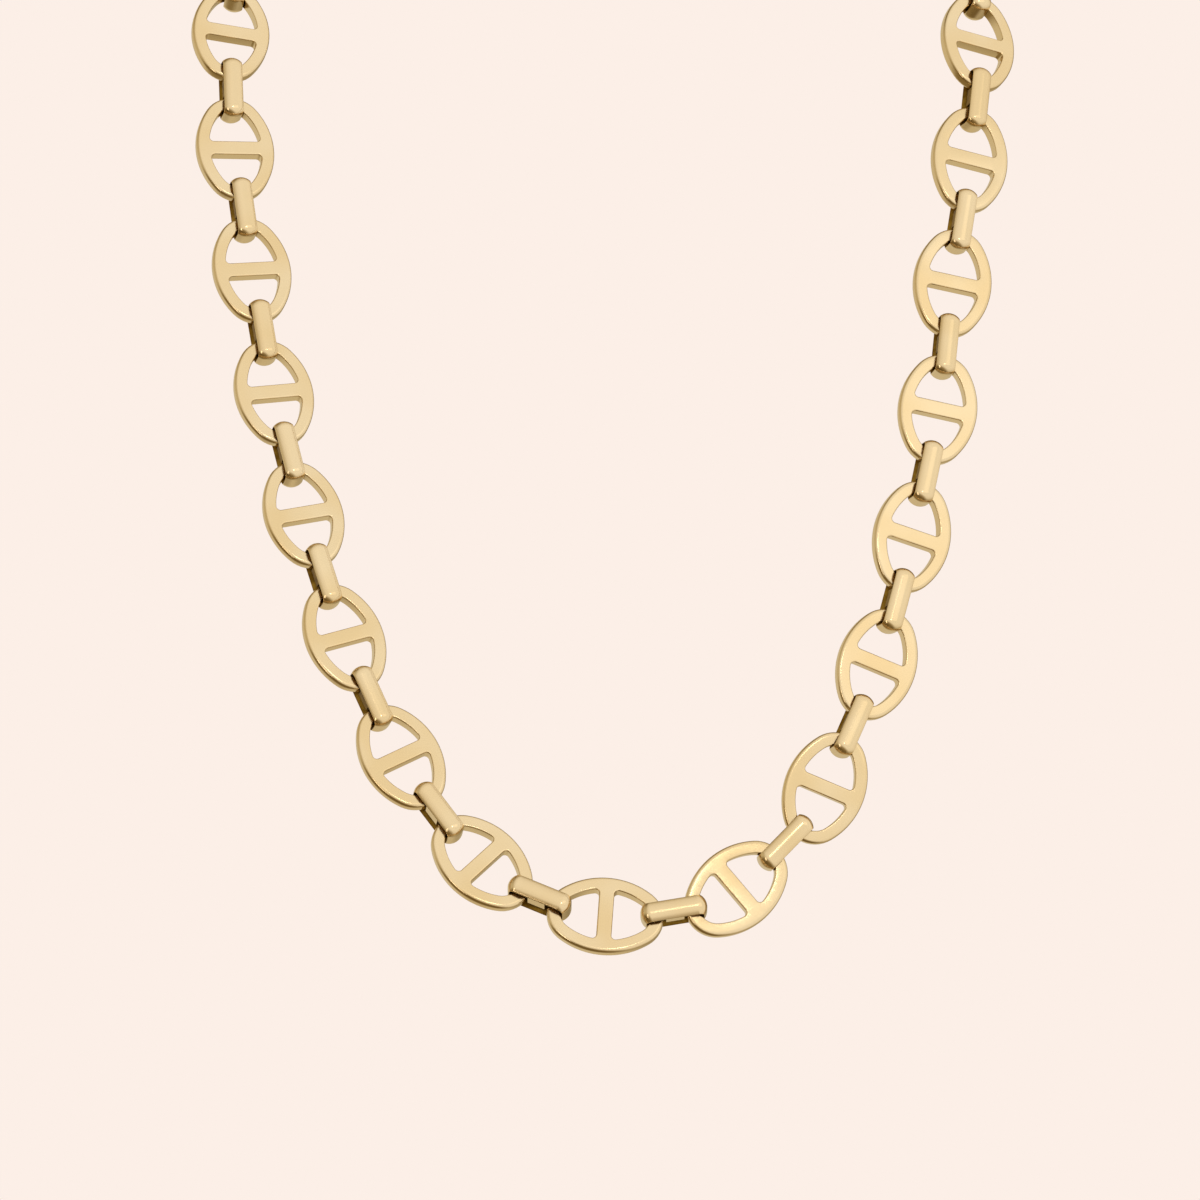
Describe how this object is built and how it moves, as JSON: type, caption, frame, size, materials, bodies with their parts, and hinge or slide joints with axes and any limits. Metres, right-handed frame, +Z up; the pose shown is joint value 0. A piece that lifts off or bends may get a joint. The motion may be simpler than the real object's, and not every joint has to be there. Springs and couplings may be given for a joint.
{
  "type": "mariner link necklace chain",
  "caption": "Closed necklace loop of flat oval anchor links joined by double slot connectors, with one clasp link at the nape, in the form it has when worn.",
  "frame": {"origin": "where the chain hangs, at the middle of the clasp's inner face on the nape of the neck", "axes": "+Z up, -Y towards the viewer in front of the wearer, +X the viewer's right; the loop hangs down and forward from the origin"},
  "size_m": [0.1066, 0.0968, 0.1498],
  "materials": {
    "gold": "polished pale gold plating"
  },
  "bodies": {
    "root": {"mariner_link_01": "gold", "connector_01": "gold", "mariner_link_02": "gold", "connector_02": "gold", "mariner_link_03": "gold", "connector_03": "gold", "mariner_link_04": "gold", "connector_04": "gold", "mariner_link_05": "gold", "connector_05": "gold", "mariner_link_06": "gold", "connector_06": "gold", "mariner_link_07": "gold", "connector_07": "gold", "mariner_link_08": "gold", "connector_08": "gold", "mariner_link_09": "gold", "connector_09": "gold", "mariner_link_10": "gold", "connector_10": "gold", "mariner_link_11": "gold", "connector_11": "gold", "mariner_link_12": "gold", "connector_12": "gold", "mariner_link_13": "gold", "connector_13": "gold", "clasp": "gold", "connector_14": "gold", "mariner_link_14": "gold", "connector_15": "gold", "mariner_link_15": "gold", "connector_16": "gold", "mariner_link_16": "gold", "connector_17": "gold", "mariner_link_17": "gold", "connector_18": "gold", "mariner_link_18": "gold", "connector_19": "gold", "mariner_link_19": "gold", "connector_20": "gold", "mariner_link_20": "gold", "connector_21": "gold", "mariner_link_21": "gold", "connector_22": "gold", "mariner_link_22": "gold", "connector_23": "gold", "mariner_link_23": "gold", "connector_24": "gold", "mariner_link_24": "gold", "connector_25": "gold", "mariner_link_25": "gold", "connector_26": "gold"}
  },
  "joints": []
}
